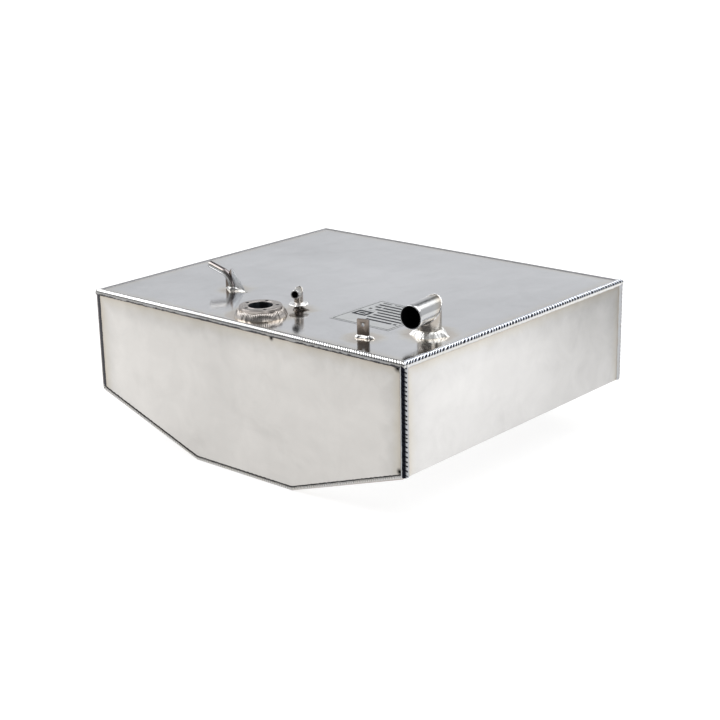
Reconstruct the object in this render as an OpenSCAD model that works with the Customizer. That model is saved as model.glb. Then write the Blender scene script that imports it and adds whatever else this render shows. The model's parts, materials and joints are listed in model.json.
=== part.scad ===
// Fresh water tank: a welded sheet-metal tank with a sloped bottom, a flat top and all its
// fittings on the top plate. Origin at the centre of the box's underside, +X along the wide
// side, +Z up. The end with the fittings faces -Y.

/* [Body] */
// Outside width of the body, along X
tank_w = 680; // [640:5:760]
// Outside length of the body, along Y
tank_l = 585; // [560:5:660]
// Height of the upright walls
wall_h = 178; // [160:1:260]
// Height of the sloped part of the bottom
slope_h = 77; // [50:1:100]
// Width of the flat strip along the middle of the bottom
flat_w = 216; // [206:2:240]
// Thickness of the sheet
sheet = 2; // [1.5:0.5:3]
// Outside radius of the folds
fold_r = 9; // [6:0.5:12]

/* [Weld beads] */
// How far an edge bead reaches over each of the two faces
bead_leg = 9; // [7:0.5:12]
// How far in from each face the bead's round centre lies
bead_depth = 4.2; // [3.5:0.1:4.6]
// Width of the thin seam bead along the lower edges of the ends
seam_w = 7; // [4.5:0.5:9]
// How proud the seam bead stands
seam_rise = 1.3; // [0.8:0.1:2]

/* [Filler] */
// Place of the filler's upright stub
filler_at = [277, -155]; // [-290:1:290]
// Outside diameter of the filler tube
filler_od = 38; // [32:1:42]
// Wall thickness of the filler tube
filler_wall = 2; // [1.5:0.5:3]
// Height of the level neck's axis above the top plate
filler_rise = 39; // [34:1:50]
// Distance from the stub's axis to the mouth
filler_reach = 52; // [44:1:70]
// Turn of the neck from the -Y direction
filler_turn = 6; // [0:1:20]
// How far the stub goes down inside the tank
filler_drop = 15; // [8:1:25]

/* [Level sender flange] */
// Place of the flange's axis
sender_at = [-5, -233]; // [-290:1:290]
// Outside diameter of the ring
sender_od = 70; // [68:1:74]
// Height of the ring above the top plate
sender_h = 16; // [13:1:18]
// Bore for the level sender
sender_bore = 39; // [36:1:42]
// Diameter of the ring's spigot, which fills the hole in the top plate
spigot_od = 48; // [46:1:56]
// Bolt circle diameter of the five tapped holes
bolt_pcd = 54; // [54:0.5:56]
// Core diameter of the tapped holes
bolt_d = 4.2; // [4:0.1:5]
// Depth of the tapped holes
bolt_depth = 12; // [8:1:12]
// Angle of the first hole
bolt_turn = 41; // [0:1:71]
// Width of the weld collar round the ring
collar_w = 8.5; // [5:0.5:10]

/* [Vent] */
// Place of the vent riser
vent_at = [23, -174]; // [-290:1:290]
// Outside diameter of the vent elbow
vent_od = 15; // [12:1:18]
// Wall thickness of the vent elbow
vent_wall = 3; // [1.5:0.5:3.5]
// Height of the vent snout's axis above the top plate
vent_rise = 29; // [24:1:40]
// Distance from the riser's axis to the vent's open end
vent_reach = 17; // [14:1:26]
// Turn of the vent snout from the -Y direction
vent_turn = 24; // [0:1:45]
// How far the riser goes down inside the tank
vent_drop = 6; // [4:1:12]

/* [Vent collar] */
// Height of the collar's rim above the top plate
collar_z = 9.5; // [8:0.5:12]
// Radius of the collar
collar_r = 16.5; // [10:0.5:18]

/* [Hose stop line] */
// Distance of the hose stop line from the heel of a mitred elbow
stop_from_heel = 2.5; // [2:0.5:4]
// Width of the line
stop_w = 0.8; // [0.7:0.1:1.5]
// Depth of the line
stop_depth = 0.3; // [0.2:0.05:0.5]

/* [Supply tube] */
// Place of the supply tube where it goes through the top plate
supply_at = [-155, -148]; // [-290:1:290]
// Outside diameter of the supply tube
supply_od = 12; // [10:1:14]
// Wall thickness of the supply tube
supply_wall = 1.5; // [1:0.25:2]
// Radius of the bend, at the tube's middle
supply_bend_r = 28; // [24:1:36]
// Angle that the tube bends through
supply_bend = 76; // [60:1:90]
// Straight length past the bend
supply_tail = 33; // [20:1:45]
// Gap left between the tube's foot and the floor of the tank
supply_gap = 12; // [8:1:20]
// Thickness of the gusset fins
gusset_t = 3; // [2:0.5:4]

/* [Earth tab] */
// Place of the tab's foot
tab_at = [210, -231]; // [-290:1:290]
// Width of the tab
tab_w = 20; // [16:1:25]
// Height of the tab
tab_h = 30; // [26:1:40]
// Thickness of the tab
tab_t = 3; // [2:0.5:4]
// Diameter of the bolt hole in the tab
tab_hole = 5.5; // [4.5:0.1:8.5]
// Turn of the tab about the upright
tab_turn = 14; // [0:1:40]

/* [Label] */
// Middle of the label
label_at = [156, -117]; // [-200:1:200]
// Width and length of the label
label_size = [121, 127]; // [100:1:140]
// Thickness of the label
label_t = 0.4; // [0.2:0.1:1]

/* [Baffles] */
// Distance of each baffle from the middle
baffle_x = 95; // [80:1:98]
// Thickness of the baffle sheet
baffle_t = 1.5; // [1:0.5:3]
// Width of the folded lips at each end of a baffle
baffle_lip = 16; // [12:1:30]
// Gap above the baffles, for air
baffle_gap = 14; // [8:1:30]
// Diameter of the holes that let the water through
baffle_hole = 60; // [40:1:64]

/* [Hidden] */
$fn = 96;

body_h = wall_h + slope_h;
slope_run = (tank_w - flat_w) / 2;
slope_angle = atan2(slope_h, slope_run);
wall_turn = 90 - slope_angle;
fold_steps = 6;
bead_steps = 10;
joint_top = body_h - sheet;

// Centres of the upper and the lower fold on the right side
upper_fold = [tank_w / 2 - fold_r, slope_h + fold_r * tan(wall_turn / 2)];
lower_fold = [flat_w / 2 - fold_r * tan(slope_angle / 2), fold_r];
bead_foot = upper_fold[1] + 4;

steel_grey = [0.80, 0.79, 0.78];
top_grey = [0.79, 0.80, 0.81];
bead_grey = [0.62, 0.61, 0.60];
tube_grey = [0.72, 0.72, 0.72];
tab_brown = [0.45, 0.39, 0.35];
label_grey = [0.72, 0.74, 0.74];

function arc(centre, r, from, to, steps) = [
    for (i = [0:steps]) let (a = from + (to - from) * i / steps) centre + r * [cos(a), sin(a)]
];
function reversed(points) = [for (i = [len(points) - 1:-1:0]) points[i]];
function mirrored(points) = [for (p = reversed(points)) [-p[0], p[1]]];

// Half of the folded outline, set in by d, from a height down to the middle of the bottom
function half_outline(d, from_z) = concat(
    [[tank_w / 2 - d, from_z]],
    arc(upper_fold, fold_r - d, 0, -wall_turn, fold_steps),
    arc(lower_fold, fold_r - d, -wall_turn, -90, fold_steps)
);
function outline(d, from_z) =
    let (half = half_outline(d, from_z)) concat(half, mirrored(half));

// Height of the tank's floor, inside, at a distance x from the middle
function floor_z(x) = x < flat_w / 2 ? sheet
    : slope_h * (x - flat_w / 2) / slope_run + sheet / cos(slope_angle);

// Section of an edge bead: an arc that starts and ends on the two faces and passes round the edge
bead_r = norm([bead_leg - bead_depth, bead_depth]);
bead_from = 180 - atan2(bead_depth, bead_leg - bead_depth);
bead_to = 90 - bead_from;
bead_section = concat(
    arc([-bead_depth, -bead_depth], bead_r, bead_from, bead_to, bead_steps), [[0, 0]]
);

// Stands a drawing on end and gives it a length along Y, about the middle
module along_y(length) {
    rotate([90, 0, 0]) linear_extrude(height = length, center = true) children();
}

module end_plate() {
    color(steel_grey)
        translate([0, -tank_l / 2 + sheet / 2, 0])
            along_y(sheet) polygon(outline(sheet, joint_top));
}

// A top edge bead along X over the -Y edge of a span wide by depth top, mitred at both ends
module top_bead(span, depth) {
    reach = bead_leg + 10;
    color(bead_grey) intersection() {
        translate([0, -depth / 2, body_h])
            rotate([90, 0, 90])
                linear_extrude(height = span + 2 * bead_leg, center = true)
                    mirror([1, 0]) polygon(bead_section);
        translate([0, 0, body_h - reach])
            linear_extrude(height = 2 * reach)
                polygon([
                    [-span / 2 - reach, -depth / 2 - reach], [span / 2 + reach, -depth / 2 - reach],
                    [span / 2 - reach, -depth / 2 + reach], [-span / 2 + reach, -depth / 2 + reach]
                ]);
    }
}

// The upright bead at the +X, -Y corner
module corner_bead() {
    color(bead_grey)
        translate([tank_w / 2, -tank_l / 2, bead_foot])
            mirror([0, 1, 0])
                linear_extrude(height = body_h - bead_leg - bead_foot)
                    polygon(bead_section);
}

// The thin bead that follows the lower edges of the front end
module seam_bead() {
    edge = 0.4;
    color(bead_grey)
        translate([0, -tank_l / 2 - seam_rise / 2, 0])
            along_y(seam_rise)
                polygon(concat(outline(edge, bead_foot), reversed(outline(seam_w, bead_foot))));
}

module tube(r, wall, from_z, to_z) {
    translate([0, 0, from_z]) difference() {
        cylinder(r = r, h = to_z - from_z);
        translate([0, 0, -1]) cylinder(r = r - wall, h = to_z - from_z + 2);
    }
}

// The space below a 45 degree mitre whose middle is at height rise
module under_mitre(rise, from = -200, to = 0) {
    translate([0, 0, rise]) rotate([45, 0, 0]) translate([-100, -150, from]) cube([200, 300, to - from]);
}

// Upright and level halves of a mitred elbow; the level one points along -Y
module upright_tube(r, wall, drop, rise) {
    intersection() {
        tube(r, wall, -drop, rise + 2 * r);
        under_mitre(rise);
    }
}
module level_tube(r, wall, rise, reach) {
    difference() {
        intersection() {
            translate([0, 0, rise]) rotate([90, 0, 0]) tube(r, wall, -2 * r, reach);
            under_mitre(rise, 0, 200);
        }
        translate([0, 0, rise]) rotate([90, 0, 0]) roll_marks(r, wall, r + stop_from_heel);
    }
}

// Shallow roll marks outside and inside a tube at height z: the hose is pushed on as far as this line
module roll_marks(r, wall, z) {
    tube(r + 1, 1 + stop_depth, z, z + stop_w);
    tube(r - wall + stop_depth, 1 + stop_depth, z, z + stop_w);
}

// The bead round an elbow's mitre
module mitre_bead(r, rise, size) {
    color(bead_grey) union() {
        intersection() {
            tube(r + size, size, rise - 2 * r, rise + 2 * r);
            under_mitre(rise, -size, 0);
        }
        intersection() {
            translate([0, 0, rise]) rotate([90, 0, 0]) tube(r + size, size, -2 * r, 2 * r);
            under_mitre(rise, 0, size);
        }
    }
}

// A hollow-faced fillet bead round a tube that stands on the top plate
module fillet_ring(r, leg, waist = 0.35) {
    color(bead_grey) rotate_extrude()
        polygon([[r, 0], [r + leg, 0], [r + leg * waist, leg * waist], [r, leg]]);
}

module on_top(place, turn = 0) {
    translate([place[0], place[1], body_h]) rotate([0, 0, turn]) children();
}

module wrapper() {
    color(steel_grey)
        along_y(tank_l)
            polygon(concat(outline(0, joint_top), reversed(outline(sheet, joint_top))));
}

module front_end_plate() {
    end_plate();
}
module rear_end_plate() {
    mirror([0, 1, 0]) end_plate();
}

module top_plate() {
    color(top_grey) difference() {
        translate([-tank_w / 2, -tank_l / 2, joint_top]) cube([tank_w, tank_l, sheet]);
        for (hole = [
            [filler_at, filler_od], [sender_at, spigot_od], [vent_at, vent_od], [supply_at, supply_od]
        ])
            translate([hole[0][0], hole[0][1], joint_top - 1]) cylinder(d = hole[1], h = sheet + 2);
    }
}

// A baffle stands on the flat strip of the floor and its lips lie against the end plates
module baffle(side) {
    end_y = tank_l / 2 - sheet;
    top_z = joint_top - baffle_gap;
    corner = 30;
    color(steel_grey) difference() {
        union() {
            translate([side * baffle_x - baffle_t / 2, 0, 0]) rotate([90, 0, 90])
                linear_extrude(height = baffle_t)
                    polygon([
                        [-end_y, sheet + corner], [-end_y + corner, sheet], [end_y - corner, sheet],
                        [end_y, sheet + corner], [end_y, top_z], [-end_y, top_z]
                    ]);
            for (end = [-1, 1])
                translate([
                    side > 0 ? baffle_x : -baffle_x - baffle_lip,
                    end > 0 ? end_y - baffle_t : -end_y,
                    sheet + corner
                ])
                    cube([baffle_lip, baffle_t, top_z - sheet - corner]);
        }
        for (y = [-180, 0, 180])
            translate([side * baffle_x - 5, y, body_h / 2]) rotate([0, 90, 0])
                cylinder(d = baffle_hole, h = 10);
    }
}
module left_baffle() {
    baffle(-1);
}
module right_baffle() {
    baffle(1);
}

// Short fillet beads: along the foot of a baffle, on the side away from its lips, and on its lips
module baffle_welds(side) {
    leg = 4;
    length = 36;
    face_x = side * (baffle_x - baffle_t / 2);
    lip_x = side * (baffle_x + baffle_lip);
    color(bead_grey) {
        for (y = [-200, -70, 70, 200])
            translate([face_x, y, sheet]) mirror([side > 0 ? 1 : 0, 0, 0])
                along_y(length) polygon([[0, 0], [leg, 0], [0, leg]]);
        for (end = [-1, 1], z = [60, 130, 200])
            translate([lip_x, end * (tank_l / 2 - sheet), z])
                mirror([side > 0 ? 0 : 1, 0, 0]) mirror([0, end > 0 ? 1 : 0, 0])
                    linear_extrude(height = length / 2)
                        polygon([[0, 0], [leg, 0], [0, baffle_t]]);
    }
}
module left_baffle_welds() {
    baffle_welds(-1);
}
module right_baffle_welds() {
    baffle_welds(1);
}

module top_weld_front() {
    top_bead(tank_w, tank_l);
}
module top_weld_rear() {
    rotate([0, 0, 180]) top_bead(tank_w, tank_l);
}
module top_weld_left() {
    rotate([0, 0, -90]) top_bead(tank_l, tank_w);
}
module top_weld_right() {
    rotate([0, 0, 90]) top_bead(tank_l, tank_w);
}

module corner_weld_front_right() {
    corner_bead();
}
module corner_weld_front_left() {
    mirror([1, 0, 0]) corner_bead();
}
module corner_weld_rear_right() {
    mirror([0, 1, 0]) corner_bead();
}
module corner_weld_rear_left() {
    rotate([0, 0, 180]) corner_bead();
}

module seam_weld_front() {
    seam_bead();
}
module seam_weld_rear() {
    mirror([0, 1, 0]) seam_bead();
}

module filler_stub() {
    color(tube_grey) on_top(filler_at, filler_turn)
        upright_tube(filler_od / 2, filler_wall, filler_drop, filler_rise);
}
module filler_neck() {
    color(tube_grey) on_top(filler_at, filler_turn)
        level_tube(filler_od / 2, filler_wall, filler_rise, filler_reach);
}
module filler_mitre_weld() {
    on_top(filler_at, filler_turn) mitre_bead(filler_od / 2, filler_rise, 1.8);
}
module filler_base_weld() {
    on_top(filler_at) fillet_ring(filler_od / 2, 10);
}

// The ring stands on the top plate and its spigot goes through it
module sender_flange() {
    r = sender_od / 2;
    edge = 1;
    color(tube_grey) on_top(sender_at, bolt_turn) difference() {
        rotate_extrude()
            polygon([
                [sender_bore / 2, -sheet], [spigot_od / 2, -sheet], [spigot_od / 2, 0], [r, 0],
                [r, sender_h - edge], [r - edge, sender_h],
                [sender_bore / 2 + edge, sender_h], [sender_bore / 2, sender_h - edge]
            ]);
        for (i = [0:4])
            rotate([0, 0, i * 72])
                translate([bolt_pcd / 2, 0, sender_h - bolt_depth]) cylinder(d = bolt_d, h = bolt_depth + 1);
    }
}
module sender_flange_weld() {
    r = sender_od / 2;
    color(bead_grey) on_top(sender_at) rotate_extrude()
        polygon([
            [r, 0], [r + collar_w, 0], [r + collar_w, 2.5], [r + collar_w - 2, 7],
            [r + collar_w / 2, 10.5], [r, 12]
        ]);
}

module vent_riser() {
    color(tube_grey) on_top(vent_at, vent_turn)
        upright_tube(vent_od / 2, vent_wall, vent_drop, vent_rise);
}
module vent_snout() {
    color(tube_grey) on_top(vent_at, vent_turn)
        level_tube(vent_od / 2, vent_wall, vent_rise, vent_reach);
}
module vent_collar() {
    color(tube_grey) on_top(vent_at) rotate_extrude()
        polygon([
            [vent_od / 2, collar_z - 2], [collar_r, collar_z - 0.5], [collar_r, collar_z + 0.5],
            [vent_od / 2 + 1.5, collar_z + 3.5], [vent_od / 2, collar_z + 3.5]
        ]);
}
module vent_mitre_weld() {
    on_top(vent_at, vent_turn) mitre_bead(vent_od / 2, vent_rise, 1);
}
module vent_base_weld() {
    on_top(vent_at) fillet_ring(vent_od / 2, 5);
}

// The run of the supply tube at any radius: foot, bend towards -X and tail. The bend is swollen
// by a hair, and the straight lengths start a little way inside it.
module supply_run(r, spare = 0) {
    foot_z = floor_z(abs(supply_at[0])) + supply_gap - body_h;
    bend_z = 1;
    lap = 0.8;
    swell = 0.02;
    bend_end = [
        supply_bend_r * (cos(supply_bend) - 1), 0, bend_z + supply_bend_r * sin(supply_bend)
    ];
    translate([0, 0, foot_z - spare]) cylinder(r = r, h = bend_z - foot_z + lap + spare);
    translate([-supply_bend_r, 0, bend_z]) rotate([90, 0, 0])
        rotate_extrude(angle = supply_bend) translate([supply_bend_r, 0]) circle(r = r + swell);
    translate(bend_end) rotate([0, -supply_bend, 0])
        translate([0, 0, -lap]) cylinder(r = r, h = supply_tail + lap + spare);
}
module supply_tube() {
    foot_z = floor_z(abs(supply_at[0])) + supply_gap - body_h;
    slant = 30;
    color(tube_grey) on_top(supply_at) difference() {
        supply_run(supply_od / 2);
        supply_run(supply_od / 2 - supply_wall, 1);
        translate([supply_od / 2, 0, foot_z]) rotate([0, slant, 0]) translate([-40, -20, -40]) cube([60, 40, 40]);
    }
}

// Two fins in the plane of the bend, one under it and one behind it, both cut to the tube
module supply_gusset() {
    color(tab_brown) on_top(supply_at) difference() {
        along_y(gusset_t) {
            polygon([[-15, 0], [0, 0], [-2, 9], [-6, 17], [-15, 24]]);
            polygon([[0, 0], [27, 0], [26, 4], [4, 33], [-1, 35], [-5, 31], [-8, 22]]);
        }
        supply_run(supply_od / 2);
    }
}

// A bead round the tube and along both sides of the fins
module supply_base_weld() {
    leg = 4;
    r = supply_od / 2;
    run_from = -18;
    run_to = 31;
    color(bead_grey) on_top(supply_at) difference() {
        union() {
            cylinder(r1 = r + leg, r2 = r + 0.5, h = leg);
            translate([run_from, 0, 0]) rotate([90, 0, 90]) linear_extrude(height = run_to - run_from)
                polygon([
                    [-gusset_t / 2 - leg, 0], [gusset_t / 2 + leg, 0], [gusset_t / 2, leg], [-gusset_t / 2, leg]
                ]);
        }
        supply_run(r);
        translate([-15, -gusset_t / 2, -1]) cube([42, gusset_t, leg + 2]);
    }
}

module earth_tab() {
    clip = 1;
    w = tab_w / 2;
    color(tab_brown) on_top(tab_at, tab_turn) difference() {
        along_y(tab_t)
            polygon([[-w, 0], [w, 0], [w, tab_h - clip], [w - clip, tab_h], [clip - w, tab_h], [-w, tab_h - clip]]);
        translate([0, tab_t, tab_h - 9]) rotate([90, 0, 0]) cylinder(d = tab_hole, h = 2 * tab_t);
    }
}
module earth_tab_weld() {
    leg = 5;
    t = tab_t / 2;
    color(bead_grey) on_top(tab_at, tab_turn) difference() {
        translate([-tab_w / 2 - leg, 0, 0]) rotate([90, 0, 90]) linear_extrude(height = tab_w + 2 * leg)
            polygon([[-t - leg, 0], [t + leg, 0], [t, leg], [-t, leg]]);
        translate([-tab_w / 2, -t, -1]) cube([tab_w, tab_t, leg + 2]);
    }
}

module label_plate() {
    color(label_grey) on_top(label_at)
        translate([-label_size[0] / 2, -label_size[1] / 2, 0])
            cube([label_size[0], label_size[1], label_t]);
}

wrapper();
front_end_plate();
rear_end_plate();
top_plate();
left_baffle();
right_baffle();
left_baffle_welds();
right_baffle_welds();
top_weld_front();
top_weld_rear();
top_weld_left();
top_weld_right();
corner_weld_front_left();
corner_weld_front_right();
corner_weld_rear_left();
corner_weld_rear_right();
seam_weld_front();
seam_weld_rear();
filler_stub();
filler_neck();
filler_mitre_weld();
filler_base_weld();
sender_flange();
sender_flange_weld();
vent_riser();
vent_snout();
vent_collar();
vent_mitre_weld();
vent_base_weld();
supply_tube();
supply_gusset();
supply_base_weld();
earth_tab();
earth_tab_weld();
label_plate();
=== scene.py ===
"""Fresh water tank of welded stainless sheet: its weld beads, fittings, finishes, studio and camera."""
import json
import math

import bmesh
import bpy
import numpy as np
from mathutils import Matrix, Vector


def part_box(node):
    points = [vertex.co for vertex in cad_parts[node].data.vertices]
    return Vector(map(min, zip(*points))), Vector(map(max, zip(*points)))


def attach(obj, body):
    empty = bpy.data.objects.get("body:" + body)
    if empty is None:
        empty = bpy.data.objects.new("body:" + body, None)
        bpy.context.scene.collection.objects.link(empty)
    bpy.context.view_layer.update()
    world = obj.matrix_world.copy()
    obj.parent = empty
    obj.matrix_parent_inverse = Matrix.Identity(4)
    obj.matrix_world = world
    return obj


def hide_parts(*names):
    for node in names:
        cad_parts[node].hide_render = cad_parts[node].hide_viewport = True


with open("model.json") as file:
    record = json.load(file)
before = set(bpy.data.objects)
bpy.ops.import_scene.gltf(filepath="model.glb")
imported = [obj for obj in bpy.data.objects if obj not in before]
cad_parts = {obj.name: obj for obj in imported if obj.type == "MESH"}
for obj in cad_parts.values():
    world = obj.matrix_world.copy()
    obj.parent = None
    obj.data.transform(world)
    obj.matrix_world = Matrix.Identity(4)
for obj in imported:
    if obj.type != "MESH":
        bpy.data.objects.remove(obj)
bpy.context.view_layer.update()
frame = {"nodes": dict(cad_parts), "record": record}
MM = 0.001
TAU = 2 * math.pi

# The body, from the frame: half its width and length, the height of its top and of the seam's ends
WALL_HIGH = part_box("wrapper")[1]
HALF_W, HALF_L = WALL_HIGH.x, WALL_HIGH.y
TOP_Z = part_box("top_plate")[1].z
SLOPE_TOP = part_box("seam_weld_front")[1].z
MOUNTS = {m["name"]: m for m in frame["record"]["mounts"]}

# The folded bottom, as in the CAD: half the flat strip's width, and the height where the slopes end
FLAT_HALF = 108 * MM
SLOPE_Z = 77 * MM

# The level sender's flange: its middle on the top plate, its holes, the turn of the first one from +X
SENDER_AT = (*((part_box("sender_flange")[0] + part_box("sender_flange")[1]) / 2)[:2], TOP_Z)
BOLTS = MOUNTS["sender_bolts"]["dims"]
FIRST_HOLE = math.radians(41)

# Weld beads: reach over each face, depth of the round centre, ripple pitch, step along the run
BEAD_LEG = 8.9 * MM
BEAD_DEPTH = 4.2 * MM
RIPPLE = 7.2 * MM
BEAD_STEP = 0.6 * MM
SEAM_INSET = 3.8 * MM
SEAM_RIPPLE = 4.2 * MM


# ---------------------------------------------------------------- mesh work

def smooth(x, low, high):
    """A soft step: 0 below low, 1 above high, and 3q squared minus 2q cubed between."""
    q = np.clip((x - low) / (high - low), 0, 1)
    return q * q * (3 - 2 * q)


def wander(s, size, seed):
    """A slow wobble between about -1 and 1: the mean of six sines of s with fixed random waves and
    phases, times 1.6. Most waves are about as long as size."""
    rng = np.random.default_rng(seed)
    waves = rng.uniform(0.5, 2.2, 6) * TAU / size
    phases = rng.uniform(0, TAU, 6)
    return np.mean([np.sin(w * s + p) for w, p in zip(waves, phases)], axis=0) * 1.6


def scallop(p):
    """Stacked rounds: within each whole step of p a parabola, 0 at the groove and 1 on the crest."""
    q = np.mod(p, 1.0) ** 0.8
    return 1 - (2 * q - 1) ** 2


def quads(nu, nv, ring):
    """Faces of a grid of nu by nv points, each joining a point to the next along u and along v. The
    grid closes round v, and with ring round u as well."""
    a, b = np.meshgrid(np.arange(nu - (not ring)), np.arange(nv), indexing="ij")
    a2, b2 = (a + 1) % nu, (b + 1) % nv
    return np.stack([a * nv + b, a2 * nv + b, a2 * nv + b2, a * nv + b2], -1).reshape(-1, 4)


def closed(values, last):
    """A section on a grid with one more column, last, which closes it inside the metal."""
    return np.hstack([np.broadcast_to(values, (len(last), values.shape[1])), last])


def piece(name, points, material, node, masks, crease, ring=True):
    """A closed mesh on a grid of points, with its faces outwards, that rides on the tank. It is a ring
    along u, or else has a flat cap on each end. Each of masks is a value for every point."""
    nu, nv = points.shape[:2]
    faces = quads(nu, nv, ring).tolist()
    if not ring:
        faces += [list(range(nv)), list(range((nu - 1) * nv, nu * nv))]
    mesh = bpy.data.meshes.new(name)
    mesh.from_pydata(points.reshape(-1, 3), [], faces)
    work = bmesh.new()
    work.from_mesh(mesh)
    bmesh.ops.recalc_face_normals(work, faces=work.faces)
    work.to_mesh(mesh)
    work.free()
    for key, values in masks.items():
        layer = mesh.attributes.new(key, "FLOAT", "POINT")
        layer.data.foreach_set("value", np.broadcast_to(values, (nu, nv)).astype(np.float32).ravel())
    return dress(name, mesh, material, node, crease)


def dress(name, mesh, material, node, crease):
    """Makes an object of a finished mesh, with its finish, and puts it on the tank's body."""
    mesh.materials.clear()
    mesh.materials.append(material)
    mesh.shade_smooth()
    mesh.set_sharp_from_angle(angle=math.radians(crease))
    obj = bpy.data.objects.new(name, mesh)
    bpy.context.scene.collection.objects.link(obj)
    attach(obj, "root")
    if node:
        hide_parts(*([node] if isinstance(node, str) else node))
    return obj


def placed(points, at, turn=0.0):
    """Turns points about the upright and moves them to at."""
    c, s = math.cos(turn), math.sin(turn)
    return points @ np.array([[c, s, 0], [-s, c, 0], [0, 0, 1]]) + np.array(at)


# ---------------------------------------------------------------- weld beads

def edge_bead(name, node, start, end, out_a, out_b, material, rough, seed, mitre, proud, ripple, lean,
              bow, round_start=False, pitch=RIPPLE):
    """A bead along an outside edge. Its section is an arc from a toe on one face round the edge to a
    toe on the other. A core in the middle of the arc stands proud and carries scalloped ripples, both
    in millimetres, that bow and lean along the run and come once in every pitch. A proud below zero
    flattens the arc instead, most in its middle. The whole section swells and shrinks slowly about the
    edge, so the toes stay on the faces, and with round_start it grows from a rounded tip. mitre says
    how far both ends are carried out, as a share of a point's distance out from the edge, and rough,
    if there is one, how strong the ripples are by the distance along the run."""
    start, end, out_a, out_b = (np.array(v, float) for v in (start, end, out_a, out_b))
    length = np.linalg.norm(end - start)
    along = (end - start) / length
    rows = int(length / BEAD_STEP)
    s = np.linspace(0, 1, rows)[:, None]
    d = s * length
    half_sweep = math.pi * 0.25 + math.atan2(BEAD_LEG - BEAD_DEPTH, BEAD_DEPTH)
    radius = math.hypot(BEAD_LEG - BEAD_DEPTH, BEAD_DEPTH)
    t = np.linspace(-1, 1, 25)[None, :]
    angle = math.pi / 4 - t * half_sweep
    core = 1 - smooth(np.abs(t), 0.34, 0.52)
    amount = 1.0 if rough is None else rough(d)
    ends = smooth(d, 0, 6 * MM) * (1 - smooth(d, length - 6 * MM, length))
    curl = np.where(np.abs(t) < 0.6, bow * (1 - (t / 0.5) ** 2), 0) + lean * t
    stroke = d / pitch + 0.28 * wander(d, 46 * MM, seed)
    crest = scallop(stroke + curl)
    lift = core * MM * (max(proud, 0) + ripple * 2 * (crest - 0.55) * amount) * (0.25 + 0.75 * ends)
    lift = lift + min(proud, 0) * MM * (1 - t ** 2)
    r = radius + lift
    swell = 1 + 0.035 * wander(d, 33 * MM, seed + 7) + 0.02 * wander(d, 9 * MM, seed + 8)
    if round_start:
        swell = swell * np.sqrt(np.clip(1 - (1 - np.clip(d / (7 * MM), 0, 1)) ** 2, 0.12, 1))
    u = (r * np.cos(angle) - BEAD_DEPTH) * swell
    v = (r * np.sin(angle) - BEAD_DEPTH) * swell
    inner = np.full((rows, 1), -1.2 * MM)
    u, v = np.hstack([u, inner]), np.hstack([v, inner])
    d_all = d + (2 * s - 1) * mitre * u
    points = start + d_all[..., None] * along + u[..., None] * out_a + v[..., None] * out_b
    pad = np.zeros((rows, 1))
    masks = {
        "crest": closed(1 - (1 - crest) * core * amount, pad),
        "core": closed(core * (0.35 + 0.65 * ends), pad),
        "toe": closed(smooth(np.abs(t), 0.86, 1.0), pad),
        "flank": closed(t * 0.5 + 0.5, pad),
    }
    return piece(name, points, material, node, masks, 60, ring=False)


def seam_bead(name, node, side, material, seed):
    """The low bead along the bottom edges of an end. Its line is the folded outline just inside the
    edge: down a slope, along the flat and up the other slope, with rounded corners. Its section is
    a half ellipse that lies on the end plate, with fine ripples."""
    edge = HALF_W - SEAM_INSET
    knee = [
        (edge, SLOPE_TOP), (edge, SLOPE_Z + SEAM_INSET),
        (FLAT_HALF, SEAM_INSET), (-FLAT_HALF, SEAM_INSET),
        (-edge, SLOPE_Z + SEAM_INSET), (-edge, SLOPE_TOP),
    ]
    line = rounded_line(np.array(knee), 6 * MM, 0.9 * MM)
    step = np.gradient(line, axis=0)
    step /= np.linalg.norm(step, axis=1, keepdims=True)
    inward = np.stack([step[:, 1], -step[:, 0]], -1)
    d = np.concatenate([[0], np.cumsum(np.linalg.norm(np.diff(line, axis=0), axis=1))])[:, None]
    t = np.linspace(0, math.pi, 11)[None, :]
    crest = scallop(d / SEAM_RIPPLE + 0.4 * np.sin(t) + 0.3 * wander(d, 30 * MM, seed))
    wide = (3.5 + 0.35 * wander(d, 14 * MM, seed + 1)) * MM
    proud = (1.15 + 0.45 * (crest - 0.5)) * MM
    across = np.hstack([wide * np.cos(t), 0 * d])
    out = np.hstack([proud * np.sin(t) * np.ones_like(t), 0 * d - 0.4 * MM])
    flat = line[:, None, :] + across[..., None] * inward[:, None, :]
    points = np.stack([flat[..., 0], side * (HALF_L + out), flat[..., 1]], -1)
    masks = {
        "crest": closed(1 - (1 - crest) * np.sin(t), 0 * d),
        "core": closed(np.sin(t), 0 * d),
        "toe": 0.0,
        "flank": closed(0.5 + 0.5 * np.cos(t), 0 * d),
    }
    return piece(name, points, material, node, masks, 60, ring=False)


def rounded_line(corners, radius, step):
    """A run through corners, each cut back and turned through a quadratic curve, in even steps."""
    run = [corners[0]]
    for before, here, after in zip(corners, corners[1:], corners[2:]):
        a = here + (before - here) / np.linalg.norm(before - here) * radius
        b = here + (after - here) / np.linalg.norm(after - here) * radius
        q = np.linspace(0, 1, 8)[:, None]
        run += list((1 - q) ** 2 * a + 2 * q * (1 - q) * here + q ** 2 * b)
    run = np.array(run + [corners[-1]])
    d = np.concatenate([[0], np.cumsum(np.linalg.norm(np.diff(run, axis=0), axis=1))])
    even = np.linspace(0, d[-1], int(d[-1] / step))
    return np.stack([np.interp(even, d, run[:, k]) for k in range(run.shape[1])], -1)


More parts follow.
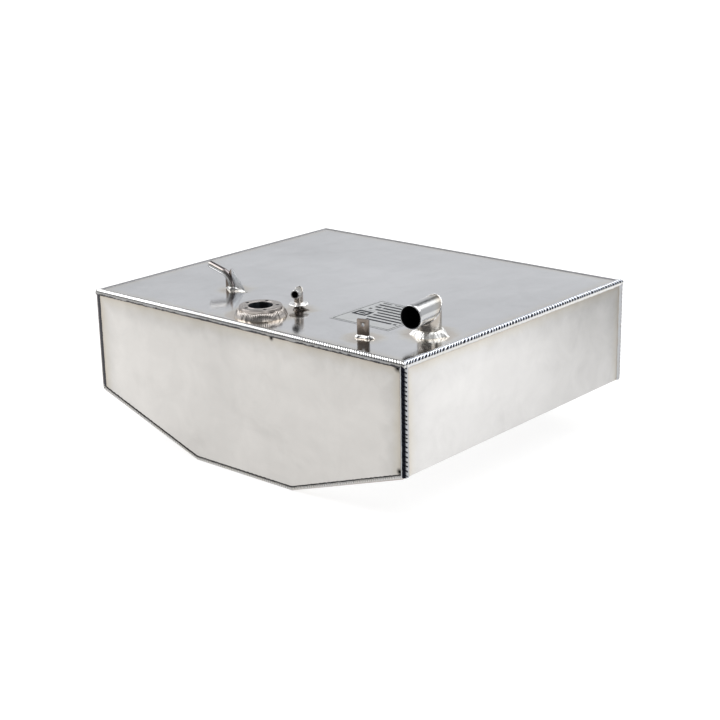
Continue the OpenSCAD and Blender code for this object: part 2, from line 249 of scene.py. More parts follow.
def foot_bead(name, node, at, r, reach, height, material, ripples, lobes, seed, round_up, rip):
    """The bead round a foot. Its section runs from the wall, at height, down to a toe on the plate,
    r plus reach out, along a curve whose roundness is round_up. Ripples lean along the run and stand
    rip millimetres high, and each lobe (angle, width, length) draws the toe out into a tongue."""
    n = max(180, ripples * 14)
    a = np.linspace(0, TAU, n, endpoint=False)[:, None]
    t = np.linspace(0, 1, 15)[None, :]
    ring = 1 + 0.07 * wander(a, 1.3, seed) + 0.04 * wander(a, 0.4, seed + 1)
    tongue = 0 * a
    for at_angle, spread, grow in lobes:
        away = np.mod(a - at_angle + math.pi, TAU) - math.pi
        tongue = tongue + grow * np.exp(-(away / spread) ** 2)
    crest = scallop(a * ripples / TAU + 0.5 * t + 0.25 * wander(a, 1.1, seed + 2))
    rad = r + (reach * ring + tongue) * t
    fall = (1 - t ** (1 + 1.6 * round_up)) ** (1.35 - 0.8 * round_up)
    rise = height * (1 + 0.08 * wander(a, 0.9, seed + 3)) * fall
    rise = rise + rip * MM * (crest - 0.4) * np.sin(math.pi * np.clip(t * 1.02, 0, 1))
    rad = np.hstack([rad, np.full((n, 1), r - 0.4 * MM)])
    rise = np.hstack([rise, np.full((n, 1), -0.5 * MM)])
    rise[:, -2] = -0.1 * MM
    rise[:, 0] = np.maximum(rise[:, 0], height * 0.8)
    rad[:, 0] = r - 0.3 * MM
    points = np.stack([rad * np.cos(a), rad * np.sin(a), rise], -1) + np.array(at)
    return piece(name, points, material, node, foot_masks(t, crest), 70)


def foot_masks(t, crest):
    """Masks of a bead round a foot: t runs from the wall, 0, to the toe, 1, and the core is half a sine."""
    hump = np.sin(math.pi * t)
    pad = np.zeros((len(crest), 1))
    return {
        "crest": closed(1 - (1 - crest) * hump, pad), "core": closed(hump, pad),
        "toe": closed(smooth(t, 0.85, 1.0), pad),
    }


def mitre_bead(name, node, at, turn, r, rise, size, material, ripples):
    """The bead round a mitre. It is a ring that follows the ellipse where the 45 degree plane cuts
    the tube, x = r cos a, y = r sin a, z = rise + r sin a, thickened and thinned by its ripples."""
    n = ripples * 14
    a = np.linspace(0, TAU, n, endpoint=False)[:, None]
    centre = np.array([0, 0, rise])
    line = np.concatenate([r * np.cos(a), r * np.sin(a), rise + r * np.sin(a)], 1)
    run = np.roll(line, -1, 0) - np.roll(line, 1, 0)
    run /= np.linalg.norm(run, axis=1, keepdims=True)
    out = line - centre
    out /= np.linalg.norm(out, axis=1, keepdims=True)
    side = np.cross(run, out)[:, None]
    out = out[:, None]
    b = np.linspace(0, TAU, 14, endpoint=False)[None, :]
    crest = scallop(a * ripples / TAU + 0.35 * np.cos(b) ** 2)
    thick = size * (0.95 + 0.08 * crest)
    section = np.cos(b)[..., None] * out * 0.8 + np.sin(b)[..., None] * side * 1.15
    points = line[:, None] + thick[..., None] * section
    masks = {"crest": crest, "core": np.clip(np.cos(b), 0, 1) + 0 * a, "toe": 0.0}
    return piece(name, placed(points, at, turn), material, node, masks, 70)


# ---------------------------------------------------------------- tubes and ring

def lip_profile(r, wall, steps=5):
    """Radii and set-backs round a tube's end: half a circle as wide as the wall."""
    q = np.linspace(0, math.pi, steps)
    return r - wall / 2 + wall / 2 * np.cos(q), wall / 2 * (1 - np.sin(q))


def mitred_tube(name, node, at, turn, r, wall, rise, far, level, material):
    """One half of a mitred elbow. Every line along the tube runs from the 45 degree plane
    z - rise = y to the free end: an upright tube's goes down to z = -far, a level one's goes
    out to y = -far. Outer wall, rounded lip and inner wall are one closed loop. The tint falls off
    from the cut as e to the minus square of the way in units of 13 mm."""
    a = np.linspace(0, TAU, 96, endpoint=False)[:, None]
    lip_r, lip_back = lip_profile(r, wall)
    rows, lip = 14, len(lip_r) - 2
    s = np.linspace(0, 1, rows)
    radius = np.concatenate([np.full(rows, r), lip_r[1:-1], np.full(rows, r - wall)])[None, :]
    share = np.concatenate([s, np.ones(lip), s[::-1]])[None, :]
    back = np.concatenate([np.full(rows, lip_back[0]), lip_back[1:-1], np.full(rows, lip_back[-1])])[None, :]
    x, y = radius * np.cos(a), radius * np.sin(a)
    reach = -(far - back)
    if level:
        points = np.stack([x, y + (reach - y) * share, rise + y], -1)
    else:
        points = np.stack([x, y, rise + y + (reach - rise - y) * share], -1)
    inside = np.concatenate([np.zeros(rows), np.linspace(0, 1, lip), np.ones(rows)])[None, :]
    near_cut = np.exp(-(share * far / (13 * MM)) ** 2) + 0 * a
    masks = {"inside": inside + 0 * a, "tint": near_cut}
    return piece(name, placed(points, at, turn), material, node, masks, 50)


def bent_tube(name, node, line, r, wall, material):
    """A tube swept along a line in the XZ plane. Across each point of the line stands a circle in the
    plane of the line's normal and Y. Outer wall, rounded lips and inner wall are one closed loop. The
    tube is heat-tinted near its foot, and along the back of its bend it is darkened as painted shade."""
    run = np.gradient(line, axis=0)
    run /= np.linalg.norm(run, axis=1, keepdims=True)
    normal = np.stack([-run[:, 2], 0 * run[:, 0], run[:, 0]], -1)
    lip_r, lip_back = lip_profile(r, wall)
    m, lip = len(line), len(lip_r) - 2
    index = np.concatenate([np.arange(m), np.full(lip, m - 1), np.arange(m)[::-1], np.zeros(lip, int)])
    radius = np.concatenate([np.full(m, r), lip_r[1:-1], np.full(m, r - wall), lip_r[1:-1][::-1]])
    push = np.concatenate([np.zeros(m), wall / 2 - lip_back[1:-1], np.zeros(m), lip_back[1:-1] - wall / 2])
    centre = line[index] + run[index] * push[:, None]
    a = np.linspace(0, TAU, 48, endpoint=False)[:, None, None]
    spoke = np.cos(a) * normal[index][None] + np.sin(a) * np.array([0, 1, 0])
    points = centre[None] + radius[None, :, None] * spoke
    inside = (radius < r - wall * 0.6).astype(float)[None, :] + 0 * a[..., 0]
    foot = np.exp(-np.abs(centre[:, 2] - TOP_Z) / (7 * MM))[None, :]
    # back: a dark line along the back of the bend, painted shade carried in the tint mask
    back = 1.4 * smooth(-np.cos(a[..., 0]), 0.35, 0.75)
    masks = {"inside": inside, "tint": np.maximum(foot, back)}
    return piece(name, points, material, node, masks, 50)


def flared_collar(name, at, r, material):
    """The vent's collar: a skirt whose rim waves up and down, spun about the riser as one closed loop."""
    low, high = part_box("vent_collar")
    a = np.linspace(0, TAU, 160, endpoint=False)[:, None]
    rim = (high.x - low.x) / 2
    middle = (low.z + high.z) / 2 - TOP_Z - 0.7 * MM
    out = np.array([0, 0.35, 0.75, 0.97, 1.0, 0.97, 0.72, 0.40, 0.2, 0])[None, :]
    up = np.array([-1.6, -1.2, -0.8, -0.5, 0, 0.5, 1.3, 2.2, 3.2, 3.4])[None, :] * MM
    wave = (0.5 * wander(a, 1.2, 81) + 0.35 * np.sin(6 * a)) * MM * out
    rad = r - 0.2 * MM + (rim - r) * out * (1 + 0.05 * wander(a, 0.8, 82))
    points = np.stack([rad * np.cos(a), rad * np.sin(a), middle + up + wave], -1)
    return piece(name, placed(points, at), material, "vent_collar",
                 {"inside": 0.0, "tint": 0.0}, 60)


def cut_out(target, cutters):
    """Takes each cutter's solid out of the target's and leaves no modifier behind."""
    for cutter in cutters:
        m = target.modifiers.new("cut", "BOOLEAN")
        m.operation, m.solver, m.object = "DIFFERENCE", "EXACT", cutter
    graph = bpy.context.evaluated_depsgraph_get()
    mesh = bpy.data.meshes.new_from_object(target.evaluated_get(graph))
    target.modifiers.clear()
    for cutter in cutters:
        bpy.data.objects.remove(cutter)
    target.data = mesh
    mesh.shade_smooth()
    mesh.set_sharp_from_angle(angle=math.radians(35))


def hole_places():
    """The middles of the flange's holes, evenly round the bolt circle from FIRST_HOLE on."""
    turn = FIRST_HOLE + np.arange(BOLTS["count"]) * TAU / BOLTS["count"]
    return BOLTS["pcd_mm"] / 2 * MM * np.stack([np.cos(turn), np.sin(turn)], -1)


def turned_ring(at, low, high, outer_r, bore_r, spigot_r, material):
    """The level-sender flange: a turned profile spun about the upright. Its edges are rounded, its
    bore has a row of shallow grooves, and five tapped holes are cut into its face."""
    edge, lip = 1.1 * MM, 1.3 * MM
    q = np.linspace(0, math.pi / 2, 5)
    z = np.linspace(low, high - 2.2 * MM, 64)
    ridge = (0.5 - 0.5 * np.cos(z / (2.1 * MM) * TAU)) * smooth(z, low + 4 * MM, low + 5 * MM)
    profile = np.concatenate([np.stack(part, -1) for part in (
        (bore_r + 0.45 * MM * ridge, z),
        (bore_r + lip - lip * np.cos(q), high - lip + lip * np.sin(q)),
        (bore_r + np.array([3.4, 3.7, 4.1, 4.4]) * MM, high - np.array([0, 0.25, 0.25, 0]) * MM),
        (outer_r - edge + edge * np.sin(q), high - edge + edge * np.cos(q)),
        (outer_r - np.array([0, 0.8, 0.8]) * MM, np.array([7.2, 6.4, 0]) * MM),
        (np.full(2, spigot_r), np.array([0, low])),
    )])
    a = np.linspace(0, TAU, 144, endpoint=False)[:, None]
    r, z = profile[None, :, 0], profile[None, :, 1]
    points = np.stack([r * np.cos(a), r * np.sin(a), z + 0 * a], -1)
    inside = (r < bore_r + 0.6 * MM).astype(float)
    ring = piece("level_sender_ring", placed(points, at), material, "sender_flange",
                 {"inside": inside}, 35)
    holes = []
    depth = np.linspace(-12 * MM, 1 * MM, 40)[:, None]
    thread = BOLTS["hole_r_mm"] * MM + 0.18 * MM * np.abs(np.mod(depth / (0.8 * MM), 1) - 0.5) * 2
    b = np.linspace(0, TAU, 24, endpoint=False)[None, :]
    for i, (x, y) in enumerate(hole_places()):
        wall = np.stack([x + thread * np.cos(b), y + thread * np.sin(b), high + depth + 0 * b], -1)
        holes.append(piece(f"hole_{i}", placed(wall, at), material, (), {"inside": 1.0},
                           42, ring=False))
    cut_out(ring, holes)


def softened(name, node, width, material):
    """A copy of a flat CAD piece with its corners rounded over by width."""
    source = frame["nodes"][node].data
    work = bmesh.new()
    work.from_mesh(source)
    bmesh.ops.remove_doubles(work, verts=work.verts, dist=1e-6)
    bmesh.ops.dissolve_limit(work, angle_limit=math.radians(4), verts=work.verts, edges=work.edges)
    sharp = [e for e in work.edges if e.is_manifold and e.calc_face_angle() > math.radians(35)]
    bmesh.ops.bevel(work, geom=sharp, offset=width, segments=2, affect="EDGES", profile=0.6,
                    clamp_overlap=True)
    bmesh.ops.recalc_face_normals(work, faces=work.faces)
    mesh = bpy.data.meshes.new(name)
    work.to_mesh(mesh)
    work.free()
    return dress(name, mesh, material, node, 30)


# ---------------------------------------------------------------- finishes

def put(tree, kind, values=None, **settings):
    """Adds a node. values sets its inputs, by name or number, to a number or to another node's output."""
    node = tree.nodes.new("ShaderNode" + kind)
    for key, value in settings.items():
        setattr(node, key, value)
    for key, value in (values or {}).items():
        if isinstance(value, bpy.types.NodeSocket):
            tree.links.new(value, node.inputs[key])
        else:
            node.inputs[key].default_value = value
    return node


def maths(tree, op, a, b=0.0, c=0.0, clamp=False):
    """One sum on numbers."""
    return put(tree, "Math", {0: a, 1: b, 2: c}, operation=op, use_clamp=clamp).outputs[0]


def times_plus(tree, value, amount, onto):
    """onto, plus amount times value."""
    return maths(tree, "MULTIPLY_ADD", value, amount, onto)


def product(tree, *factors):
    """All the factors multiplied, the first two first."""
    out = factors[0]
    for factor in factors[1:]:
        out = maths(tree, "MULTIPLY", out, factor)
    return out


def swing(tree, value, amount, onto):
    """onto, plus amount times what value has above a half."""
    return times_plus(tree, maths(tree, "SUBTRACT", value, 0.5), amount, onto)


def vectors(tree, op, a, b=(0, 0, 0)):
    """One sum on vectors: a vector, or a number for a length, a distance or a dot product."""
    node = put(tree, "VectorMath", {0: a, 1: b}, operation=op)
    return node.outputs["Value" if op in ("LENGTH", "DISTANCE", "DOT_PRODUCT") else "Vector"]


def parts(tree, vector):
    """The X, Y and Z of a vector."""
    return put(tree, "SeparateXYZ", {0: vector}).outputs


def blend(tree, amount, a, b, mode="MIX"):
    """Colour a turned into colour b by amount."""
    return put(tree, "Mix", {0: amount, 6: a, 7: b}, data_type="RGBA", blend_type=mode).outputs[2]


def toned(tree, colour, tone):
    """A flat colour made lighter or darker: colour times tone."""
    grey = put(tree, "CombineColor", {0: tone, 1: tone, 2: tone}).outputs[0]
    return blend(tree, 1.0, (*colour, 1), grey, "MULTIPLY")


def ramp_of(tree, value, stops):
    """A colour for each value, straight between the stops (place, colour)."""
    ramp = tree.nodes.new("ShaderNodeValToRGB")
    while len(ramp.color_ramp.elements) < len(stops):
        ramp.color_ramp.elements.new(0.5)
    for element, (place, colour) in zip(ramp.color_ramp.elements, stops):
        element.position, element.color = place, (*colour, 1)
    tree.links.new(value, ramp.inputs[0])
    return ramp.outputs[0]


def span(tree, value, low, high, to_low=0.0, to_high=1.0):
    """A soft step from to_low, where value is at or under low, to to_high, at or over high."""
    return put(tree, "MapRange", {0: value, 1: low, 2: high, 3: to_low, 4: to_high},
               interpolation_type="SMOOTHSTEP").outputs[0]


def strip(tree, value, low, full, fade, high, top=1.0):
    """top where value lies between full and fade, and 0 under low and over high."""
    return product(tree, span(tree, value, low, full), span(tree, value, fade, high, top, 0.0))


def noise(tree, vector, scale, detail=3.0, roughness=0.5, distortion=0.0):
    """Cloudy noise between 0 and 1, about a half, with scale blobs to the metre."""
    return put(tree, "TexNoise", {
        "Vector": vector, "Scale": scale, "Detail": detail, "Roughness": roughness, "Distortion": distortion,
    }).outputs[0]


def stretched(tree, vector, scale):
    """A point with each axis multiplied by its own scale."""
    return put(tree, "Mapping", {0: vector, 3: scale}).outputs[0]


def group(name, inputs, outputs):
    """A shader node group with named inputs and outputs: (name, socket type, default value)."""
    tree = bpy.data.node_groups.new(name, "ShaderNodeTree")
    for label, kind, value in inputs:
        socket = tree.interface.new_socket(label, in_out="INPUT", socket_type="NodeSocket" + kind)
        socket.default_value = value
    for label, kind in outputs:
        tree.interface.new_socket(label, in_out="OUTPUT", socket_type="NodeSocket" + kind)
    return tree, tree.nodes.new("NodeGroupInput").outputs, tree.nodes.new("NodeGroupOutput").inputs


def sheet_grain_group():
    """Clouds, rolling streaks, fine scratches and smudges of cold-rolled sheet."""
    tree, given, give = group("sheet grain", [
        ("Vector", "Vector", (0, 0, 0)), ("Streak Scale", "Vector", (2.0, 90.0, 2.0)),
        ("Cloud Scale", "Float", 3.0),
    ], [("Cloud", "Float"), ("Streak", "Float"), ("Scratch", "Float"), ("Smudge", "Float")])
    v = given["Vector"]
    cloud = noise(tree, v, given["Cloud Scale"], 4.0, 0.55, 0.6)
    streak = noise(tree, vectors(tree, "MULTIPLY", v, given["Streak Scale"]), 1.0, 5.0, 0.6)
    scratch = None
    for turn, scale in ((0.5, (5, 320, 5)), (-0.9, (320, 7, 7)), (1.9, (6, 420, 6))):
        turned = put(tree, "VectorRotate", {0: v, 3: turn}, rotation_type="Z_AXIS").outputs[0]
        line = span(tree, noise(tree, stretched(tree, turned, scale), 1.0, 2.0), 0.70, 0.76)
        scratch = line if scratch is None else maths(tree, "MAXIMUM", scratch, line)
    smudge = span(tree, noise(tree, v, 9.0, 6.0, 0.65, 1.4), 0.52, 0.72)
    for socket, value in zip(give, (cloud, streak, scratch, smudge)):
        tree.links.new(value, socket)
    return tree


def rim_band_group():
    """1 at the rim of a plate, falling to 0 at Reach inside it. Half is half the plate each way; an
    axis that has no rim gets a large half. The rim's edge is broken up by noise."""
    tree, given, give = group("rim band", [
        ("Vector", "Vector", (0, 0, 0)), ("Half", "Vector", (1, 1, 1)), ("Reach", "Float", 0.02),
        ("Ragged", "Float", 0.5),
    ], [("Band", "Float")])
    size = vectors(tree, "ABSOLUTE", given["Vector"])
    x, y, z = parts(tree, vectors(tree, "SUBTRACT", given["Half"], size))
    gap = maths(tree, "MINIMUM", maths(tree, "MINIMUM", x, y), z)
    rough = swing(tree, noise(tree, given["Vector"], 38.0, 4.0, 0.6), given["Ragged"], 1.0)
    share = maths(tree, "DIVIDE", gap, maths(tree, "MULTIPLY", given["Reach"], rough))
    tree.links.new(span(tree, share, 0.0, 1.0, 1.0, 0.0), give["Band"])
    return tree


def heat_tint_group():
    """The colours that welding leaves on stainless: brown-grey at 1, bronze, straw, and none at 0."""
    tree, given, give = group(
        "heat tint", [("Color", "Color", (0.6, 0.6, 0.6, 1)), ("Heat", "Float", 0.0)], [("Color", "Color")])
    tint = ramp_of(tree, given["Heat"], [
        (0.0, (1, 1, 1)), (0.22, (1.0, 0.98, 0.93)), (0.5, (0.92, 0.85, 0.75)), (0.72, (0.70, 0.61, 0.55)),
        (0.88, (0.52, 0.48, 0.50)), (1.0, (0.42, 0.39, 0.37)),
    ])
    tree.links.new(blend(tree, 1.0, given["Color"], tint, "MULTIPLY"), give["Color"])
    return tree


GRAIN = sheet_grain_group()
RIM = rim_band_group()
TINT = heat_tint_group()


def use(tree, shared, values):
    """Places a shared node group. values sets its inputs, as put does. Gives its outputs."""
    node = tree.nodes.new("ShaderNodeGroup")
    node.node_tree = shared
    for key, value in values.items():
        if isinstance(value, bpy.types.NodeSocket):
            tree.links.new(value, node.inputs[key])
        else:
            node.inputs[key].default_value = value
    return node.outputs


def tinted(tree, colour, heat):
    """A colour with the heat tint group over it."""
    return use(tree, TINT, {"Color": colour, "Heat": heat})["Color"]


def finish_of(name, metallic=1.0):
    """A new material with a Principled BSDF. Gives the material, its tree and the shader."""
    material = bpy.data.materials.new(name)
    material.use_nodes = True
    tree = material.node_tree
    shader = tree.nodes["Principled BSDF"]
    shader.inputs["Metallic"].default_value = metallic
    return material, tree, shader


def join(tree, shader, colour, roughness, height, bump, distance):
    """Joins a colour, a roughness and a bump's height to the shader."""
    tree.links.new(colour, shader.inputs["Base Color"])
    tree.links.new(roughness, shader.inputs["Roughness"])
    node = put(tree, "Bump", {"Strength": bump, "Distance": distance, "Height": height})
    tree.links.new(node.outputs[0], shader.inputs["Normal"])


def object_point(tree):
    """The point in the object's own coordinates, which are the tank's."""
    return tree.nodes.new("ShaderNodeTexCoord").outputs["Object"]


def own(tree, name):
    """One of the piece's own masks."""
    return put(tree, "Attribute", attribute_name=name).outputs["Fac"]


def sheet_finish(name, colour, half, offset, roughness, streaks, cloud, slope, dim, spots, feet=()):
    """Cold-rolled sheet: a cloudy tone painted in as the shine's reflections, rolling streaks, scratches,
    smudges, and heat tint by its welds. half and offset are the sheet's half size and middle. slope is
    how much brighter it gets per metre along each axis, a painted gradient of light and shade, and dim
    how much darker it is towards its rim, as painted shade. Each of spots, a place, a radius and a
    change, is a soft patch that is brighter, a painted pool of light, or darker, a painted shade. Round
    each of feet, a place and a radius, the sheet has a halo of heat."""
    material, tree, shader = finish_of(name)
    p = object_point(tree)
    grain = use(tree, GRAIN, {"Vector": p, "Streak Scale": streaks, "Cloud Scale": cloud})
    local = vectors(tree, "SUBTRACT", p, offset)

    def rim(reach, ragged):
        return use(tree, RIM, {"Vector": local, "Half": half, "Reach": reach, "Ragged": ragged})["Band"]

    # painted reflection: the cloud noise makes the tone lighter and darker
    tone = swing(tree, grain["Cloud"], 0.40, 1.0)
    tone = swing(tree, grain["Streak"], 0.07, tone)
    tone = times_plus(tree, grain["Smudge"], -0.035, tone)
    tone = swing(tree, noise(tree, p, 16.0, 5.0, 0.6, 0.8), 0.20, tone)
    # painted light and shade: a steady gradient along slope
    tone = maths(tree, "ADD", tone, vectors(tree, "DOT_PRODUCT", local, slope))
    # painted shade towards the rim
    tone = times_plus(tree, rim(55 * MM, 1.2), -dim, tone)
    # painted pools of light and painted shade at the spots
    for place, r, change in spots:
        patch = span(tree, vectors(tree, "DISTANCE", p, place), 0.0, r, 1.0, 0.0)
        tone = times_plus(tree, patch, change, tone)
    line, band = rim(13.5 * MM, 0.25), rim(30 * MM, 0.9)
    heat = times_plus(tree, line, 0.35, maths(tree, "MULTIPLY", band, 0.45))
    ragged = swing(tree, noise(tree, p, 40.0, 3.0), 30 * MM, 0.0)
    for foot, r in feet:
        away = maths(tree, "ADD", vectors(tree, "DISTANCE", p, tuple(foot)), ragged)
        heat = maths(tree, "MAXIMUM", heat, span(tree, away, r + 2 * MM, r + 28 * MM, 0.56, 0.0))
    rough = swing(tree, grain["Cloud"], 0.10, roughness)
    rough = times_plus(tree, grain["Smudge"], 0.05, rough)
    rough = times_plus(tree, grain["Scratch"], 0.06, rough)
    wave = noise(tree, p, 4.5, 1.0, 0.4)
    height = times_plus(tree, wave, 4.0, maths(tree, "MULTIPLY", grain["Streak"], 0.02))
    height = times_plus(tree, grain["Scratch"], -0.02, height)
    join(tree, shader, tinted(tree, toned(tree, colour, tone), heat), rough, height, 0.22, 0.6 * MM)
    return material


def bead_finish(name, bright, dark, grooves, core_dark=0.0, teeth=(0.45, 0.6), shadow_line=0.0, roughness=0.2,
                band=(-1.0, 2.0), tint=1.0, groove_to=0.8, leg=None, line_at=0.86):
    """Rippled weld metal. flank runs from 0 at one toe to 1 at the other. Grooves, the places where the
    crest is under groove_to, are darkened by grooves as painted shade, where the flank lies within band.
    Between flank 0.2 and 0.74 and under 0.1 the core is darkened by core_dark, painted shade and painted
    dark reflection, apart from bright teeth, left unpainted, where the ripples stand high on the flank
    that teeth marks. From flank 0.6 on the bead has the colour of leg; where leg differs from bright the
    two are painted light and shade on one metal. A ragged dark line, a painted shadow line, lies at flank
    line_at and past it, and a thin one short of it, both by shadow_line. Toes and some patches are
    tinted, by tint."""
    material, tree, shader = finish_of(name)
    p = object_point(tree)
    crest, core, toe, flank = own(tree, "crest"), own(tree, "core"), own(tree, "toe"), own(tree, "flank")
    soft = 0.04
    # painted_dark: painted shade in the grooves between the ripples
    painted_dark = product(tree, core, span(tree, crest, groove_to - 0.5, groove_to, 1.0, 0.0), grooves,
                   span(tree, flank, band[0] - soft, band[0] + soft),
                   span(tree, flank, band[1] - soft, band[1] + soft, 1.0, 0.0))
    tooth = product(tree, span(tree, crest, 0.35, 0.7), span(tree, flank, *teeth))
    # the core's painted shade and painted dark reflection, with the teeth on high crests left out
    window = strip(tree, flank, 0.20, 0.24, 0.64, 0.74)
    window = maths(tree, "ADD", window, span(tree, flank, 0.05, 0.10, 1.0, 0.0))
    body = maths(tree, "MULTIPLY", window, product(tree, maths(tree, "SUBTRACT", 1.0, tooth), core_dark))
    # a painted shadow line along the lower toe
    line = span(tree, swing(tree, noise(tree, p, 90.0, 3.0), 0.45, flank), line_at - soft, line_at + soft)
    upper = strip(tree, flank, line_at - 0.26, line_at - 0.2, line_at - 0.18, line_at - 0.12, 0.6)
    line = product(tree, maths(tree, "MAXIMUM", line, upper), shadow_line)
    painted_dark = maths(tree, "MAXIMUM", maths(tree, "MAXIMUM", painted_dark, body), line, clamp=True)
    # lit_and_shaded: bright on the upper flank and leg on the lower, painted light and shade
    lit_and_shaded = blend(tree, span(tree, flank, 0.60, 0.68), (*bright, 1), (*(leg or bright), 1))
    shade = blend(tree, painted_dark, lit_and_shaded, (*dark, 1))
    patch = span(tree, noise(tree, p, 70.0, 3.0), 0.35, 0.7)
    heat = times_plus(tree, toe, 0.5 * tint, maths(tree, "MULTIPLY", patch, 0.2 * tint))
    rough = times_plus(tree, noise(tree, p, 300.0, 2.0), 0.16, roughness - 0.06)
    join(tree, shader, tinted(tree, shade, heat), rough, noise(tree, p, 420.0, 3.0), 0.25, 0.3 * MM)
    return material


def tube_finish(name, colour, roughness, inside_shade, burnt_to=0.0):
    """Polished tube: fine polishing lines, a heat tint by the welds, and a bore painted dark as painted
    shade. Up to the height burnt_to above the top plate the tube is browned nearly black."""
    material, tree, shader = finish_of(name)
    p = object_point(tree)
    lines = noise(tree, stretched(tree, p, (120, 120, 700)), 1.0, 3.0)
    base = toned(tree, colour, swing(tree, noise(tree, p, 45.0, 4.0, 0.6), 0.14, 1.0))
    base = tinted(tree, base, maths(tree, "MULTIPLY", own(tree, "tint"), 0.6))
    if burnt_to:
        top = TOP_Z + burnt_to
        burnt = span(tree, parts(tree, p)[2], top - 1 * MM, top + 1 * MM, 1.0, 0.0)
        base = blend(tree, burnt, base, (0.15, 0.135, 0.125, 1))
    deep = own(tree, "inside")
    # the inside is painted in inside_shade, painted shade for the unlit bore
    base = blend(tree, deep, base, (*inside_shade, 1))
    rough = times_plus(tree, lines, 0.10, roughness)
    rough = times_plus(tree, deep, 0.35, rough)
    join(tree, shader, base, rough, lines, 0.12, 0.2 * MM)
    return material


def turned_finish():
    """Turned ring: fine rings round the middle of the flange, a bronze heat tint low down on one side,
    and painted shade: a dark rim round each hole and a dark bore."""
    material, tree, shader = finish_of("turned stainless ring")
    p = object_point(tree)
    local = vectors(tree, "SUBTRACT", p, (*SENDER_AT[:2], 0))
    level = vectors(tree, "MULTIPLY", local, (1, 1, 0))
    r = vectors(tree, "LENGTH", level)
    rings = put(tree, "TexNoise", {"W": r, "Scale": 2600.0, "Detail": 3.0},
                noise_dimensions="1D").outputs[0]
    x, y, z = parts(tree, local)
    low = span(tree, z, TOP_Z + 3 * MM, TOP_Z + 15 * MM, 1.0, 0.0)
    across = maths(tree, "ADD", x, maths(tree, "MULTIPLY", y, 0.4))
    heat = product(tree, low, span(tree, across, -30 * MM, 10 * MM, 1.0, 0.15), 0.75)
    base = toned(tree, (0.43, 0.395, 0.37), swing(tree, noise(tree, p, 60.0, 3.0), 0.12, 1.0))
    base = tinted(tree, base, heat)
    # painted shade in each tapped hole and round its mouth
    for hole_x, hole_y in hole_places():
        away = vectors(tree, "DISTANCE", level, (hole_x, hole_y, 0))
        base = blend(tree, span(tree, away, 2.7 * MM, 3.3 * MM, 0.96, 0.0), base, (0.015, 0.015, 0.017, 1))
    # painted shade in the bore
    base = blend(tree, own(tree, "inside"), base, (0.04, 0.044, 0.05, 1))
    join(tree, shader, base, times_plus(tree, rings, 0.12, 0.20), rings, 0.2, 0.2 * MM)
    return material


def tab_finish(name, brown_to):
    """Sheared plate with a coarse sheared grain. Up to brown_to along X it is browned by the heat of
    its weld, and past it bright and rougher. Its edges, which face along Y, are darker, as painted shade."""
    material, tree, shader = finish_of(name)
    p = object_point(tree)
    grain = noise(tree, stretched(tree, p, (300, 300, 900)), 1.0, 4.0)
    blotch = noise(tree, p, 120.0, 4.0, 0.6)
    base = blend(tree, blotch, (0.20, 0.165, 0.14, 1), (0.34, 0.29, 0.255, 1))
    past = span(tree, parts(tree, p)[0], brown_to - 2 * MM, brown_to + 2 * MM)
    base = blend(tree, past, base, (0.64, 0.66, 0.68, 1))
    # painted shade on the faces that do not point along Y
    normal_y = parts(tree, tree.nodes.new("ShaderNodeNewGeometry").outputs["Normal"])[1]
    edge = span(tree, maths(tree, "ABSOLUTE", normal_y), 0.6, 0.85, 0.75, 0.0)
    base = blend(tree, edge, base, (0.24, 0.24, 0.25, 1))
    rough = times_plus(tree, past, 0.16, 0.22)
    join(tree, shader, base, times_plus(tree, grain, 0.2, rough), grain, 0.3, 0.3 * MM)
    return material


def label_finish(low, high):
    """Silver film with a printed frame, one plain block and rows of dashes of uneven length, which
    stand for a maker's data without being any lettering."""
    material, tree, shader = finish_of("printed silver film", metallic=0.0)
    shader.inputs["Specular IOR Level"].default_value = 0.12
    row_pitch, words_per_metre = 12.4 * MM, 75.0
    p = object_point(tree)
    x, y, _ = parts(tree, vectors(tree, "SUBTRACT", p, tuple(low)))

    def between(value, a, b):
        return product(tree, maths(tree, "GREATER_THAN", value, a), maths(tree, "LESS_THAN", value, b))

    def block(x0, x1, y0, y1):
        return product(tree, between(x, x0 * MM, x1 * MM), between(y, y0 * MM, y1 * MM))

    frame_x = maths(tree, "MINIMUM", x, maths(tree, "SUBTRACT", high[0] - low[0], x))
    frame_y = maths(tree, "MINIMUM", y, maths(tree, "SUBTRACT", high[1] - low[1], y))
    edge = maths(tree, "MINIMUM", frame_x, frame_y)
    rule = between(edge, 3.4 * MM, 5.0 * MM)
    rim = maths(tree, "LESS_THAN", edge, 1.4 * MM)
    row = maths(tree, "DIVIDE", y, row_pitch)
    in_row = between(maths(tree, "FRACT", row), 0.25, 0.72)
    row_seed = product(tree, maths(tree, "FLOOR", row), 7.31)
    place = put(tree, "CombineXYZ", {0: product(tree, x, words_per_metre), 1: row_seed})
    words = noise(tree, place.outputs[0], 1.0, 1.0)
    dash = product(tree, in_row, maths(tree, "GREATER_THAN", words, 0.40))
    field = maths(tree, "MAXIMUM", block(42, 112, 28, 118), block(14, 112, 70, 118))
    badge = maths(tree, "SUBTRACT", block(9, 38, 41, 65), block(14.5, 32.5, 47, 59))
    badge = maths(tree, "MAXIMUM", badge, block(17.5, 29.5, 50, 56))
    ink = maths(tree, "MAXIMUM", product(tree, dash, field), maths(tree, "MAXIMUM", badge, rule))
    film = blend(tree, noise(tree, p, 30.0, 3.0), (0.40, 0.41, 0.41, 1), (0.52, 0.53, 0.54, 1))
    film = blend(tree, product(tree, rim, 0.5), film, (0.30, 0.31, 0.32, 1))
    base = blend(tree, product(tree, ink, 0.97), film, (0.012, 0.013, 0.018, 1))
    join(tree, shader, base, span(tree, ink, 0, 1, 0.38, 0.5), noise(tree, p, 500.0, 2.0), 0.05, 0.2 * MM)
    return material


# ---------------------------------------------------------------- the tank

